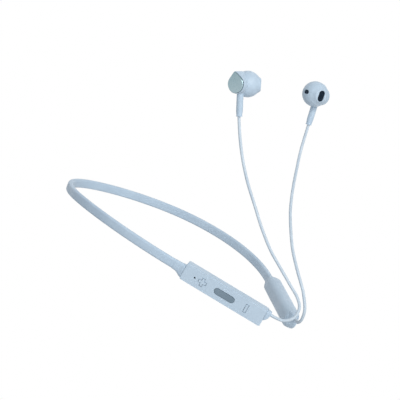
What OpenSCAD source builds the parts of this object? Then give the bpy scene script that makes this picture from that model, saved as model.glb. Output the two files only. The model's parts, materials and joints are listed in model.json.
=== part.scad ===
// Neckband earphones, as worn: a flat silicone band round the neck, a control module
// and a battery module at its front ends, and two earbuds on short cords.
// Millimetres. +Z is up, the wearer faces -Y and the wearer's right is -X.
// The origin is the middle of the band at the nape.

/* [Band] */
// Radius of the nape arc
nape_r = 60; // [55:1:66]
// Turn of the nape arc on each side of the middle, degrees
nape_turn = 72; // [66:1:76]
// Radius of each side arc
side_r = 95; // [85:1:110]
// Turn of each side arc, degrees
side_turn = 51; // [46:1:56]
// Downward pitch of the band at the nape, degrees
nape_pitch = 26; // [18:1:32]
// Downward pitch of the band at the modules, degrees
front_pitch = 38; // [34:1:45]
// Width of the strap
strap_w = 5.6; // [5.2:0.1:7]
// Thickness of the strap
strap_t = 3.2; // [3:0.1:4]
// Length of the flared neck between the strap and a module
neck_l = 7; // [5:0.5:9]

/* [Modules] */
// Length of a module
module_l = 53.5; // [53.5:0.5:60]
// Width of a module
module_w = 10.5; // [10.4:0.1:12]
// Thickness of a module
module_t = 7.6; // [7.4:0.1:9]
// Wall thickness of the back shells
shell_wall = 0.9; // [0.7:0.1:1]
// Thickness of the face plates
plate_t = 1.2; // [1:0.1:1.4]
// Radius of the back shells' lower long edge
shell_round = 2.6; // [2:0.1:2.8]
// Radius of the back shells' upper long edge
shell_brow = 6.2; // [5:0.1:6.2]

/* [Keys] */
// Length of the strokes of the plus and minus keys
sign_l = 5.4; // [4:0.1:5.6]
// Width of those strokes
sign_w = 1.8; // [1.4:0.1:2.2]
// Length of the call key
call_l = 13.8; // [10:0.2:14]
// Width of the call key
call_w = 4; // [3:0.1:4.4]
// Travel of the keys
key_travel = 0.4; // [0.2:0.05:0.4]

/* [Earbuds] */
// Diameter of the earbud's head
head_d = 15.6; // [15.4:0.1:17]
// Diameter of the stem
stem_d = 4; // [3.8:0.1:4.6]
// Distance from the head's centre level to the stem's end
stem_l = 19; // [18:0.1:24]
// Radius of the round part of the back cap
cap_r = 5.2; // [4.8:0.1:5.4]

/* [Cords] */
// Diameter of a cord
cord_d = 1.8; // [1.6:0.1:1.9]

/* [Hidden] */
$fn = 48;
eps = 0.05;
deg = 180 / PI;

SIDES = ["right", "left"];
BUD_PIECES = ["front_shell", "rear_shell", "back_cap", "outlet_grille", "vent_grille",
    "driver_frame", "driver_magnet", "driver_diaphragm", "cap_magnet", "stem_sleeve"];

BLUE = [0.69, 0.79, 0.87];
PALE = [0.75, 0.84, 0.90];
SLATE = [0.42, 0.50, 0.57];
DARK = [0.10, 0.13, 0.18];
METAL = [0.70, 0.74, 0.75];
GREEN = [0.10, 0.35, 0.22];

// The band's centre line, drawn on a flat sheet: s runs from the nape along one side,
// across() is the distance from the middle and ahead() the distance in front of the nape.
nape_len = nape_r * nape_turn / deg;
side_len = side_r * side_turn / deg;
arc_len = nape_len + side_len;
end_turn = nape_turn + side_turn;
function turn(s) =
    s < nape_len ? s / nape_r * deg : min(end_turn, nape_turn + (s - nape_len) / side_r * deg);
function across(s) =
    s < nape_len ? nape_r * sin(turn(s))
    : nape_r * sin(nape_turn) + side_r * (sin(turn(s)) - sin(nape_turn))
        + max(0, s - arc_len) * cos(end_turn);
function ahead(s) =
    s < nape_len ? nape_r * (1 - cos(turn(s)))
    : nape_r * (1 - cos(nape_turn)) + side_r * (cos(nape_turn) - cos(turn(s)))
        + max(0, s - arc_len) * sin(end_turn);

// The sheet is rolled down towards the front: its pitch grows evenly from the nape to the
// strap's end, and stays the same along the modules.
roll_ahead = ahead(arc_len);
roll_r = roll_ahead * deg / (front_pitch - nape_pitch);
function pitch(f) = nape_pitch + (front_pitch - nape_pitch) * min(f, roll_ahead) / roll_ahead;
function depth_y(f) =
    -roll_r * (sin(pitch(f)) - sin(nape_pitch)) - max(0, f - roll_ahead) * cos(front_pitch);
function height_z(f) =
    roll_r * (cos(pitch(f)) - cos(nape_pitch)) - max(0, f - roll_ahead) * sin(front_pitch);

// A point of the band: s is negative on the right, u goes into the loop and v up its width
function band_point(s, u, v) =
    let (f = ahead(abs(s)), p = pitch(f), t = sign(s) * turn(abs(s)))
    [sign(s) * across(abs(s)), depth_y(f), height_z(f)]
        + u * [-sin(t), -cos(t) * cos(p), -cos(t) * sin(p)]
        + v * [0, -sin(p), cos(p)];

// Outlines of the pieces that run along the band, as [u, v] points
function round_outline(t, w, r) =
    [for (c = [[1, 1], [-1, 1], [-1, -1], [1, -1]], k = [0:3])
        let (a = k * 30 + (c[0] > 0 ? (c[1] > 0 ? 0 : 270) : (c[1] > 0 ? 90 : 180)))
        [c[0] * (t / 2 - r) + r * cos(a), c[1] * (w / 2 - r) + r * sin(a)]];
function circle_outline(r, v0) = [for (k = [0:7]) [r * cos(k * 45), v0 + r * sin(k * 45)]];
strap_edge_r = 1.2;
channel_t = 1.5;
channel_w = 3.5;
channel_edge_r = 0.5;
wire_r = 0.5;
wire_v = 0.85;
lead_end = 2;
band_step = 6;

function band_stations(reach) =
    let (n = 2 * round(reach / band_step)) [for (i = [0:n]) -reach + 2 * reach * i / n];
function band_rings(outline, reach) =
    [for (s = band_stations(reach)) [for (q = outline) band_point(s, q[0], q[1])]];

// Place of the front modules: local X runs from the strap end to the cord end, Y goes into
// the loop and Z up the width. The left module is the mirror image of the right one.
module_start = band_point(-(arc_len + neck_l), 0, 0);
module_yaw = end_turn - 180;
function module_world(p) =
    let (c = cos(module_yaw), s = sin(module_yaw), q = [p[0] * c - p[1] * s, p[0] * s + p[1] * c])
    module_start + [q[0], q[1] * cos(front_pitch) - p[2] * sin(front_pitch),
        q[1] * sin(front_pitch) + p[2] * cos(front_pitch)];
module on_right_module() {
    translate(module_start) rotate([front_pitch, 0, 0]) rotate([0, 0, module_yaw]) children();
}
module on_left_module() {
    mirror([1, 0, 0]) on_right_module() children();
}

// Levels across a module's thickness
face_y = -3.4;
seam_y = face_y + plate_t;
back_y = face_y + module_t;
plate_inset = 0.15;
plate_corner = 0.8;
end_chamfer = 1.2;
lead_gap = 0.4;

// Places along the control module
mic_x = 7.7;
plus_x = 12.8;
call_x = 27.5;
minus_x = 41.9;
mic_hole_r = 0.4;

// Keys: they stand proud of the plate, with a flange behind it that keeps them in
key_proud = 0.35;
key_gap = 0.15;
flange_y = seam_y + 0.1;
flange_t = 0.5;
flange_rim = 0.6;
call_flange_l = 6.4;
foot_r = 1;
foot_l = 0.15;

// Circuit board, with a cut-out round the charging socket
board_y = 0.2;
board_t = 0.8;
board_end = 2.5;
board_z = [-4, 3.3];
cutout_l = 12.6;
cutout_top = 1.8;
switch_w = 3.2;
switch_h = 1.2;
mic_size = [2.8, 1, 2.2];
chip_size = [5, 0.8, 5];
chip_x = 34.5;

// Cell and protection board in the battery module
cell_size = [38, 3.1, 6.2];
cell_at = [12, -1.7];
cell_corner = 1.2;
guard_size = [7, 0.8, 7];
guard_at = [3.6, -0.4];

// Charging socket on the control module's lower edge, and its cover
port_x = 19.7;
port_y = 0.5;
port_w = 8.9;
port_h = 3.2;
port_wall = 0.3;
port_back_wall = 0.6;
port_mouth_z = -module_w / 2 + 0.85;
port_depth = 6;
port_gap = 0.2;
tongue_w = 6.6;
tongue_t = 0.7;
tongue_sink = 0.7;
cover_l = 11.4;
cover_w = 3.6;
cover_t = 0.7;
cover_gap = 0.15;
cover_end_gap = 0.25;
pad_rim = 0.35;
cover_x = port_x - cover_l / 2;
cover_hinge_x = port_x + cover_l / 2 - cover_t / 2;
cover_z = -module_w / 2;
tab_x = 21.2;
tab_l = 2;
tab_w = 1.8;
tab_h = 0.5;

// Cord boots on the modules' front ends
boot_tip = [module_l + 2.5, 0, 3.4];
boot_base_z = [-1.2, 5];
boot_base_t = 4.6;
boot_edge_r = 1;
boot_tip_r = 1.5;
boot_rim = 0.4;
strap_grip = 0.1;
neck_flare = [1.2, 0.9];
neck_drop = 0.9;

// Earbuds: the local origin is on the stem's axis, level with the head's centre. X goes
// towards the ear and -Y forward. The left earbud is the mirror image.
bud_at = [[-31, -141, 39.1], [33.2, -151.5, 43.6]];
bud_lean = [[11, -13, 6], [22, -3, 6]];
head_c = [5.75, -1.35, 0];
head_wall = 0.9;
// The seam of the ball runs down its back, clear of the openings
ball_seam = 90;
split_x = 4.5;
cap_x = -6.4;
cap_t = 1;
spigot_l = 0.8;
spigot_wall = 0.9;
spigot_gap = 0.05;
cap_magnet_r = 2.6;
cap_magnet_t = 1.2;
horn = [7.7, 1];
horn_root = [[-0.35, 0.8], [-0.5, -0.7]];
lobe_rim = 0.4;
lobe_wall = 0.9;
lobe_front = 2.5;
lead_in = 2;
stem_bore_r = 1.15;
sleeve_l = 4.2;
sleeve_end_r = 1.65;
outlet_dir = [0.48, -0.87, -0.08];
outlet_l = 6.8;
outlet_w = 3.9;
vent_dir = [0.98, 0.18, -0.08];
vent_l = 3.2;
vent_w = 2.2;
grille_gap = 0.1;
grille_sink = 0.15;
grille_t = 0.5;
driver_x = 5.75;
flange_half_t = 0.35;
flange_clear = 0.12;
cup_r = 6.2;
cup_back = -1.2;
cup_front = 0.8;
cup_bore_r = 5.3;
cup_floor = -0.6;
magnet_r = 4.2;
magnet_t = 2;
diaphragm_r = 5.2;
diaphragm_x = 0.2;
diaphragm_t = 0.25;
cord_in_sleeve = 2.8;

module on_bud(side) {
    i = side == "right" ? 0 : 1;
    translate(bud_at[i]) rotate(bud_lean[i]) mirror([i, 0, 0]) children();
}
function bud_axis(i) =
    let (
        a = bud_lean[i][0],
        b = bud_lean[i][1],
        c = bud_lean[i][2],
        side = cos(a) * sin(b)
    )
    [side * cos(c) + sin(a) * sin(c), side * sin(c) - sin(a) * cos(c), cos(a) * cos(b)];
function stem_point(i, below) = bud_at[i] - (stem_l + below) * bud_axis(i);

// Cord routes: straight out of the boot, round under the modules and up to the stem
exit_lead = 3;
module_axis = module_world([1, 0, 0]) - module_start;
function flip(p) = [-p[0], p[1], p[2]];
right_exit = module_world(boot_tip);
right_route = concat(
    [right_exit, right_exit + exit_lead * module_axis],
    [[-7, -153.5, -98], [-3.5, -158, -96], [-2, -160.5, -90.5], [-3.5, -160, -84.5]],
    [[-6, -157, -77.5], [-9.5, -153, -68], [-13, -148.5, -57.5], [-16, -144.5, -44.5]],
    [[-18.5, -141.5, -31.5], [-21, -138.5, -18.5], [-23, -136.5, -5.5], [-25, -136, 7]],
    [stem_point(0, 2), stem_point(0, -cord_in_sleeve)]
);
left_route = concat(
    [flip(right_exit), flip(right_exit + exit_lead * module_axis)],
    [[6.5, -153.5, -98], [4, -158, -96.5], [2, -161.5, -91], [1.5, -161, -82]],
    [[1, -160, -77], [0.5, -157.5, -68], [2, -153.5, -56], [6, -149.5, -43.5]],
    [[11.5, -145.5, -30.5], [18.6, -142.2, -17.2], [25.9, -140.1, -3.4], [32.2, -139.2, 10.4]],
    [stem_point(1, 2.5), stem_point(1, -cord_in_sleeve)]
);
cord_sides = 8;
// No stretch of either cord runs along this direction, so it steadies the rings
cord_across = [-0.83, -0.56, 0];

function unit(v) = v / norm(v);
function spline(p, i, u) =
    let (
        a = i > 0 ? p[i - 1] : 2 * p[0] - p[1],
        d = i + 2 < len(p) ? p[i + 2] : 2 * p[i + 1] - p[i]
    )
    (2 * p[i] + (p[i + 1] - a) * u + (2 * a - 5 * p[i] + 4 * p[i + 1] - d) * u * u
        + (3 * p[i] - a - 3 * p[i + 1] + d) * u * u * u) / 2;
function smooth(p) = concat(
    [for (i = [0:len(p) - 2], u = [0, 0.5]) spline(p, i, u)],
    [p[len(p) - 1]]
);
function cord_rings(path, r) =
    let (last = len(path) - 1)
    [for (i = [0:last])
        let (
            t = i == 0 ? path[1] - path[0]
                : i == last ? path[last] - path[last - 1]
                : path[i + 1] - path[i - 1],
            n = unit(cross(t, cord_across)),
            b = unit(cross(n, t))
        )
        [for (k = [0:cord_sides - 1])
            path[i] + r * (cos(360 * k / cord_sides) * n + sin(360 * k / cord_sides) * b)]];
function run_length(p) = [for (i = [1:len(p) - 1]) norm(p[i] - p[i - 1])] * [for (i = [1:len(p) - 1]) 1];
echo(right_cord_length = run_length(smooth(right_route)));
echo(left_cord_length = run_length(smooth(left_route)));

// Skins of the swept pieces, in triangles
function side_faces(rings, n, base, out) =
    [for (i = [0:rings - 2], k = [0:n - 1], half = [0, 1])
        let (
            a = base + i * n + k,
            b = base + i * n + (k + 1) % n,
            f = half == 0 ? [a, b, b + n] : [a, b + n, a + n]
        )
        out ? f : [f[0], f[2], f[1]]];
module solid_run(rings) {
    n = len(rings[0]);
    last = (len(rings) - 1) * n;
    polyhedron(
        points = [for (r = rings, q = r) q],
        faces = concat(
            side_faces(len(rings), n, 0, true),
            [for (k = [1:n - 2]) [0, k + 1, k]],
            [for (k = [1:n - 2]) [last, last + k, last + k + 1]]
        )
    );
}
module hollow_run(outer, inner) {
    n = len(outer[0]);
    m = len(outer);
    base = m * n;
    last = (m - 1) * n;
    polyhedron(
        points = concat([for (r = outer, q = r) q], [for (r = inner, q = r) q]),
        faces = concat(
            side_faces(m, n, 0, true),
            side_faces(m, n, base, false),
            [for (k = [0:n - 1], half = [0, 1])
                let (j = (k + 1) % n)
                half == 0 ? [k, base + k, base + j] : [k, base + j, j]],
            [for (k = [0:n - 1], half = [0, 1])
                let (j = (k + 1) % n)
                half == 0 ? [last + k, base + last + j, base + last + k]
                    : [last + k, last + j, base + last + j]]
        )
    );
}

// Flat outlines
module round_rect(l, w, r) {
    square([l - 2 * r, w], center = true);
    square([l, w - 2 * r], center = true);
    for (x = [-1, 1], y = [-1, 1]) translate([x * (l / 2 - r), y * (w / 2 - r)]) circle(r);
}
module slot(l, w) {
    square([l - w, w], center = true);
    for (x = [-1, 1]) translate([x * (l - w) / 2, 0]) circle(w / 2);
}
module plus_sign(grow) {
    for (a = [0, 90]) rotate(a) square([sign_l + 2 * grow, sign_w + 2 * grow], center = true);
}
module drop(r, grow) {
    tip = [-(horn[0] + grow), horn[1]];
    circle(r + grow);
    polygon([tip, r * horn_root[0], r * horn_root[1]]);
}

// Strap
module strap_sleeve() {
    color(BLUE) hollow_run(
        band_rings(round_outline(strap_t, strap_w, strap_edge_r), arc_len),
        band_rings(round_outline(channel_t, channel_w, channel_edge_r), arc_len)
    );
}
module spring_wire() {
    color(METAL) solid_run(band_rings(circle_outline(wire_r, wire_v), arc_len + neck_l + lead_end));
}
module link_cable() {
    color(DARK) solid_run(band_rings(circle_outline(wire_r, -wire_v), arc_len + neck_l + lead_end));
}

// Module shells
module shell_profile(inset) {
    w = module_w - 2 * inset;
    r = shell_round - inset;
    brow = shell_brow - inset;
    top = back_y - inset;
    translate([-w / 2, seam_y]) square([w, top - brow - seam_y]);
    translate([-w / 2 + brow, seam_y]) square([w - brow, top - r - seam_y]);
    translate([-w / 2 + brow, seam_y]) square([w - brow - r, top - seam_y]);
    translate([w / 2 - r, top - r]) circle(r);
    intersection() {
        translate([-w / 2 + brow, top - brow]) circle(brow, $fn = 96);
        translate([-w / 2, seam_y]) square([w, top - seam_y]);
    }
}
module along_module(x0, x1) {
    translate([x0, 0, 0]) rotate([0, 90, 0]) linear_extrude(x1 - x0) children();
}
module through_plate(y0, y1) {
    translate([0, y1, 0]) rotate([90, 0, 0]) linear_extrude(y1 - y0) children();
}
module end_cut() {
    translate([0, back_y, 0]) rotate([0, 0, 45])
        cube([end_chamfer * sqrt(2), end_chamfer * sqrt(2), module_w + 1], center = true);
}
module plain_back_shell() {
    difference() {
        along_module(0, module_l) shell_profile(0);
        translate([0, -eps, 0]) along_module(shell_wall, module_l - shell_wall) shell_profile(shell_wall);
        end_cut();
        translate([module_l, 0, 0]) end_cut();
        translate([shell_wall / 2, 0, 0])
            cube([shell_wall + 2 * eps, channel_t + 2 * lead_gap, channel_w + 2 * lead_gap], center = true);
    }
}
module plain_face_plate() {
    translate([module_l / 2, 0, 0]) through_plate(face_y, seam_y)
        round_rect(module_l - 2 * plate_inset, module_w - 2 * plate_inset, plate_corner);
}
module strap_boot() {
    difference() {
        hull() {
            along_module(-neck_l, -neck_l + boot_rim)
                round_rect(strap_w + 2 * strap_grip, strap_t + 2 * strap_grip, strap_edge_r, $fn = 32);
            translate([0, 0, -neck_drop]) along_module(-boot_rim, 0)
                round_rect(module_w - 2 * neck_flare[0], strap_t + 2 * neck_flare[1], strap_edge_r, $fn = 32);
        }
        translate([-neck_l - eps, -channel_t / 2, -channel_w / 2])
            cube([neck_l + 2 * eps, channel_t, channel_w]);
    }
}
module cord_boot() {
    base_w = boot_base_z[1] - boot_base_z[0];
    hull() {
        translate([module_l, 0, (boot_base_z[0] + boot_base_z[1]) / 2]) along_module(0, boot_rim)
            round_rect(base_w, boot_base_t, boot_edge_r, $fn = 32);
        translate(boot_tip) along_module(-boot_rim, 0) circle(boot_tip_r, $fn = 32);
    }
}

// Control module
module port_opening(gap, z0, z1) {
    translate([port_x, port_y, z0]) linear_extrude(z1 - z0) slot(port_w + 2 * gap, port_h + 2 * gap);
}
module remote_face_plate() {
    color(PALE) difference() {
        plain_face_plate();
        translate([mic_x, 0, 0]) through_plate(face_y - eps, seam_y + eps) circle(mic_hole_r);
        translate([plus_x, 0, 0]) through_plate(face_y - eps, seam_y + eps) plus_sign(key_gap);
        translate([call_x, 0, 0]) through_plate(face_y - eps, seam_y + eps)
            slot(call_l + 2 * key_gap, call_w + 2 * key_gap);
        translate([minus_x, 0, 0]) through_plate(face_y - eps, seam_y + eps)
            square([sign_w + 2 * key_gap, sign_l + 2 * key_gap], center = true);
    }
}
module remote_back_shell() {
    pocket_l = cover_l + 2 * cover_end_gap;
    pocket_w = cover_w + 2 * cover_gap;
    pad_top = port_mouth_z + shell_wall;
    color(BLUE) difference() {
        union() {
            plain_back_shell();
            translate([port_x, port_y, (cover_z + shell_wall / 2 + pad_top) / 2])
                cube([pocket_l + 2 * pad_rim, pocket_w + 2 * pad_rim, pad_top - cover_z - shell_wall / 2],
                    center = true);
        }
        port_opening(port_gap, cover_z - eps, pad_top + eps);
        translate([port_x, port_y, (cover_z - eps + port_mouth_z) / 2])
            cube([pocket_l, pocket_w, port_mouth_z - cover_z + eps], center = true);
    }
}
module remote_strap_boot() {
    color(BLUE) strap_boot();
}
module remote_cord_boot() {
    color(BLUE) cord_boot();
}
module remote_board() {
    color(GREEN) difference() {
        translate([board_end, board_y, board_z[0]])
            cube([module_l - 2 * board_end, board_t, board_z[1] - board_z[0]]);
        translate([port_x - cutout_l / 2, board_y - eps, board_z[0] - eps])
            cube([cutout_l, board_t + 2 * eps, cutout_top - board_z[0] + eps]);
    }
}
module key_switches() {
    color(METAL) for (x = [plus_x, call_x, minus_x])
        translate([x - switch_w / 2, board_y - switch_h, -switch_w / 2])
            cube([switch_w, switch_h, switch_w]);
}
module voice_microphone() {
    color(METAL) translate([mic_x, board_y - mic_size[1] / 2, 0]) cube(mic_size, center = true);
}
module radio_chip() {
    color(DARK) translate([chip_x, board_y + board_t, -chip_size[2] / 2]) cube(chip_size);
}
module key_flange() {
    through_plate(flange_y, flange_y + flange_t) children();
    through_plate(flange_y + flange_t - eps, flange_y + flange_t + foot_l) circle(foot_r);
}
module plus_button() {
    color(PALE) translate([plus_x, 0, 0]) {
        through_plate(face_y - key_proud, flange_y + eps) plus_sign(0);
        key_flange() circle(sign_l / 2 + flange_rim);
    }
}
module call_button() {
    color(SLATE) translate([call_x, 0, 0]) {
        through_plate(face_y - key_proud, flange_y + eps) slot(call_l, call_w);
        key_flange() square([call_flange_l, call_w + 2 * flange_rim], center = true);
    }
}
module minus_button() {
    color(PALE) translate([minus_x, 0, 0]) {
        through_plate(face_y - key_proud, flange_y + eps) square([sign_w, sign_l], center = true);
        key_flange()
            square([sign_w + 2 * flange_rim, sign_l + 2 * flange_rim], center = true);
    }
}
module charge_socket() {
    color(METAL) {
        difference() {
            port_opening(0, port_mouth_z, port_mouth_z + port_depth);
            port_opening(-port_wall, port_mouth_z - eps, port_mouth_z + port_depth - port_back_wall);
        }
        translate([port_x - tongue_w / 2, port_y - tongue_t / 2, port_mouth_z + tongue_sink])
            cube([tongue_w, tongue_t, port_depth - port_back_wall - tongue_sink + eps]);
    }
}
module port_cover() {
    color(BLUE) {
        translate([cover_x, port_y - cover_w / 2, cover_z])
            cube([cover_hinge_x - cover_x, cover_w, cover_t]);
        translate([cover_hinge_x, port_y - cover_w / 2, cover_z + cover_t / 2]) rotate([-90, 0, 0])
            cylinder(h = cover_w, r = cover_t / 2);
        translate([tab_x - tab_l / 2, port_y - tab_w / 2, cover_z - tab_h])
            cube([tab_l, tab_w, tab_h + cover_t / 2]);
    }
}

// Battery module
module battery_face_plate() {
    color(PALE) plain_face_plate();
}
module battery_back_shell() {
    color(BLUE) plain_back_shell();
}
module battery_strap_boot() {
    color(BLUE) strap_boot();
}
module battery_cord_boot() {
    color(BLUE) cord_boot();
}
module battery_cell() {
    color(METAL) translate([cell_at[0] + cell_size[0] / 2, 0, 0])
        through_plate(cell_at[1], cell_at[1] + cell_size[1])
            round_rect(cell_size[0], cell_size[2], cell_corner);
}
module battery_board() {
    color(GREEN) translate([guard_at[0], guard_at[1], -guard_size[2] / 2]) cube(guard_size);
}

// Cords
module right_cord() {
    color(PALE) solid_run(cord_rings(smooth(right_route), cord_d / 2));
}
module left_cord() {
    color(PALE) solid_run(cord_rings(smooth(left_route), cord_d / 2));
}

// Earbud pieces
module along_head(dir) {
    lift = asin(dir[2] / norm(dir));
    swing = atan2(dir[1], dir[0]);
    translate(head_c) rotate([0, 0, swing]) rotate([0, -lift, 0]) children();
}
module head_slot(dir, l, w, grow, level) {
    r = head_d / 2;
    along_head(dir) translate([r / 2, 0, 0]) rotate([0, 90, 0]) linear_extrude(r)
        rotate(level ? 90 : 0) slot(l + 2 * grow, w + 2 * grow);
}
module behind_split() {
    reach = 2 * head_d;
    translate([split_x - reach, -reach / 2, -reach / 2]) cube(reach);
}
module head_ball(r) {
    translate(head_c) rotate([0, 0, ball_seam]) sphere(r);
}
module front_shell() {
    color(BLUE) difference() {
        head_ball(head_d / 2);
        head_ball(head_d / 2 - head_wall);
        behind_split();
        head_slot(outlet_dir, outlet_l, outlet_w, 0, false);
        head_slot(vent_dir, vent_l, vent_w, 0, true);
    }
}
module grille(dir, l, w, level) {
    r = head_d / 2 - grille_sink;
    intersection() {
        difference() {
            head_ball(r);
            head_ball(r - grille_t);
        }
        head_slot(dir, l, w, -grille_gap, level);
    }
}
module outlet_grille() {
    color(DARK) grille(outlet_dir, outlet_l, outlet_w, false);
}
module vent_grille() {
    color(DARK) grille(vent_dir, vent_l, vent_w, true);
}
module rear_shell() {
    lobe_x = cap_x + cap_t;
    color(BLUE) difference() {
        union() {
            intersection() {
                head_ball(head_d / 2);
                behind_split();
            }
            along_module(lobe_x, lobe_front) drop(cap_r, lobe_rim);
            translate([0, 0, -stem_l + sleeve_l]) cylinder(h = stem_l - sleeve_l, d = stem_d);
        }
        head_ball(head_d / 2 - head_wall);
        along_module(lobe_x - eps, lobe_front) circle(cap_r + lobe_rim - lobe_wall);
        translate([0, 0, -stem_l]) cylinder(h = stem_l - lead_in, r = stem_bore_r);
    }
}
module back_cap() {
    spigot_r = cap_r + lobe_rim - lobe_wall - spigot_gap;
    color(METAL) {
        along_module(cap_x, cap_x + cap_t) drop(cap_r, 0);
        difference() {
            along_module(cap_x + cap_t - eps, cap_x + cap_t + spigot_l) circle(spigot_r);
            along_module(cap_x + cap_t, cap_x + cap_t + spigot_l + eps) circle(spigot_r - spigot_wall);
        }
    }
}
module cap_magnet() {
    color(DARK) along_module(cap_x + cap_t, cap_x + cap_t + cap_magnet_t) circle(cap_magnet_r);
}
module on_driver() {
    translate([driver_x, head_c[1], head_c[2]]) children();
}
module driver_frame() {
    color(DARK) on_driver() difference() {
        union() {
            along_module(-flange_half_t, flange_half_t) circle(head_d / 2 - head_wall - flange_clear);
            along_module(cup_back, cup_front) circle(cup_r);
        }
        along_module(cup_floor, cup_front + eps) circle(cup_bore_r);
    }
}
module driver_magnet() {
    color(METAL) on_driver() along_module(cup_back - magnet_t, cup_back) circle(magnet_r);
}
module driver_diaphragm() {
    color(PALE) on_driver() along_module(diaphragm_x, diaphragm_x + diaphragm_t) circle(diaphragm_r);
}
module stem_sleeve() {
    color(PALE) translate([0, 0, -stem_l]) difference() {
        cylinder(h = sleeve_l, r1 = sleeve_end_r, r2 = stem_d / 2);
        translate([0, 0, -eps]) cylinder(h = sleeve_l + 2 * eps, r = stem_bore_r);
    }
}

strap_sleeve();
spring_wire();
link_cable();
on_right_module() remote_face_plate();
on_right_module() remote_back_shell();
on_right_module() remote_strap_boot();
on_right_module() remote_cord_boot();
on_right_module() remote_board();
on_right_module() key_switches();
on_right_module() voice_microphone();
on_right_module() radio_chip();
on_right_module() plus_button();
on_right_module() call_button();
on_right_module() minus_button();
on_right_module() charge_socket();
on_right_module() port_cover();
on_left_module() battery_face_plate();
on_left_module() battery_back_shell();
on_left_module() battery_strap_boot();
on_left_module() battery_cord_boot();
on_left_module() battery_cell();
on_left_module() battery_board();
right_cord();
left_cord();
for (side = SIDES) {
    on_bud(side) front_shell();
    on_bud(side) rear_shell();
    on_bud(side) back_cap();
    on_bud(side) outlet_grille();
    on_bud(side) vent_grille();
    on_bud(side) driver_frame();
    on_bud(side) driver_magnet();
    on_bud(side) driver_diaphragm();
    on_bud(side) cap_magnet();
    on_bud(side) stem_sleeve();
}
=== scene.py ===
"""Neckband earphones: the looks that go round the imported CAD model."""
import json
from collections import namedtuple
from math import acos, cos, pi, radians, sin

import bmesh
import bpy
from mathutils import Matrix, Vector


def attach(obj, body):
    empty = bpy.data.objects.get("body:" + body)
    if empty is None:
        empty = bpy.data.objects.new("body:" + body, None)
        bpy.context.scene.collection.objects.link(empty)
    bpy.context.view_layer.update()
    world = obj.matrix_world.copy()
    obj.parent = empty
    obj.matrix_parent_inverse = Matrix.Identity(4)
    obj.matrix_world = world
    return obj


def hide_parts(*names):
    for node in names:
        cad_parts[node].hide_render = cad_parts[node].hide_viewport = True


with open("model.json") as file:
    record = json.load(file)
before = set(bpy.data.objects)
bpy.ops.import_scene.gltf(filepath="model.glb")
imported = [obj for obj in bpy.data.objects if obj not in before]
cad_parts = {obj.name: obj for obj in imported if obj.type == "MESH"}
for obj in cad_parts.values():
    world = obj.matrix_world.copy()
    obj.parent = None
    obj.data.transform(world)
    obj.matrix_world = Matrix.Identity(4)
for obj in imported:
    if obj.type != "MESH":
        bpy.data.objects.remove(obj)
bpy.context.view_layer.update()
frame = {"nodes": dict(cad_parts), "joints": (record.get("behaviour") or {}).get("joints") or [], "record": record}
scene = bpy.context.scene
RECORD = frame["record"]
JOINTS = {j["name"]: j for j in frame["joints"]}
MOUNTS = {m["name"]: m for m in RECORD["mounts"]}
MM = 0.001
X, Y, Z = range(3)  # axes by number

# Camera, fitted to the photo: places in metres, lens and sensor in millimetres
EYE = Vector((-0.6901, -0.6391, -0.1787))
AIM = Vector((0.0086, -0.0789, -0.0170))
LENS, SENSOR, NEAREST = 131.5, 36, 0.01


def link(name, data):
    """A new object in the scene"""
    obj = bpy.data.objects.new(name, data)
    scene.collection.objects.link(obj)
    return obj


def stand(obj, place):
    """Puts a camera or a lamp at its place, looking at the part"""
    obj.location = place
    obj.rotation_mode = "QUATERNION"
    obj.rotation_quaternion = (AIM - Vector(place)).to_track_quat("-Z", "Y")


def set_camera():
    data = bpy.data.cameras.new("camera")
    data.lens = LENS
    data.sensor_width = SENSOR
    data.clip_start = NEAREST
    scene.camera = link("camera", data)
    stand(scene.camera, EYE)


set_camera()

# Places of the two modules and the two earbuds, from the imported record. Local units are
# millimetres. On a module X runs from the strap to the cord, Y into the loop, Z up its width.
# On an earbud X goes to the ear, -Y forward and Z up the stem.
COVER_HINGE = Vector((25.05, 0.5, -4.9))


def axes_matrix(x, y, z, origin, unit=MM):
    """A place from its axes and origin, with the length of its local unit"""
    rows = zip(x * unit, y * unit, z * unit, origin)
    return Matrix([list(r) for r in rows] + [[0, 0, 0, 1]])


def module_places():
    """The control module stands by its joints and port; the battery module is its mirror image"""
    inward = Vector(JOINTS["call_press"]["axis"]).normalized()
    up = -Vector(MOUNTS["charge_port"]["axis"]).normalized()
    along = inward.cross(up)
    hinge = Vector(JOINTS["port_flap_swing"]["pos_m"])
    to_hinge = along * COVER_HINGE.x + inward * COVER_HINGE.y + up * COVER_HINGE.z
    right = axes_matrix(along, inward, up, hinge - MM * to_hinge)
    return {"remote": right, "battery": Matrix.Scale(-1, 4, (1, 0, 0)) @ right}


def bud_place(side):
    """An earbud stands on the joint of its stem, facing away from its cap"""
    turn = JOINTS[f"{side}_earbud_turn"]
    up = Vector(turn["axis"]).normalized()
    ear = -Vector(MOUNTS[f"{side}_cap_face"]["axis"]).normalized()
    back = up.cross(ear) if side == "right" else ear.cross(up)
    return axes_matrix(ear, back, up, Vector(turn["pos_m"]))


MODULES = module_places()
BUDS = {side: bud_place(side) for side in ("right", "left")}

# Sizes in millimetres, here and below. They follow the CAD model, but the keys, the earbuds'
# openings, the boots and the ends of the battery module are drawn closer to the photo.
STRAP_W, STRAP_T, STRAP_EDGE = 5.6, 3.2, 1.2
CORD_D = 1.8
MODULE_L, MODULE_W = 53.5, 10.5
LOWER_Z = -MODULE_W / 2
FACE_Y, SEAM_Y, BACK_Y = -3.4, -2.2, 4.2
BOOT_TIP = Vector((MODULE_L + 2.5, 0, 3.4))
CAP_X, CAP_T, CAP_R = -6.4, 1, 5.2
STEM_R, STEM_L, SLEEVE_L = 2, 19, 4.2
SLEEVE_TOP = -STEM_L + SLEEVE_L


# Shader helpers
def linear(r, g, b):
    """A screen colour, sRGB from 0 to 255, in Blender's linear values"""
    def level(v):
        v /= 255
        return v / 12.92 if v <= 0.04045 else ((v + 0.055) / 1.055) ** 2.4
    return (level(r), level(g), level(b), 1)


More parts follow.
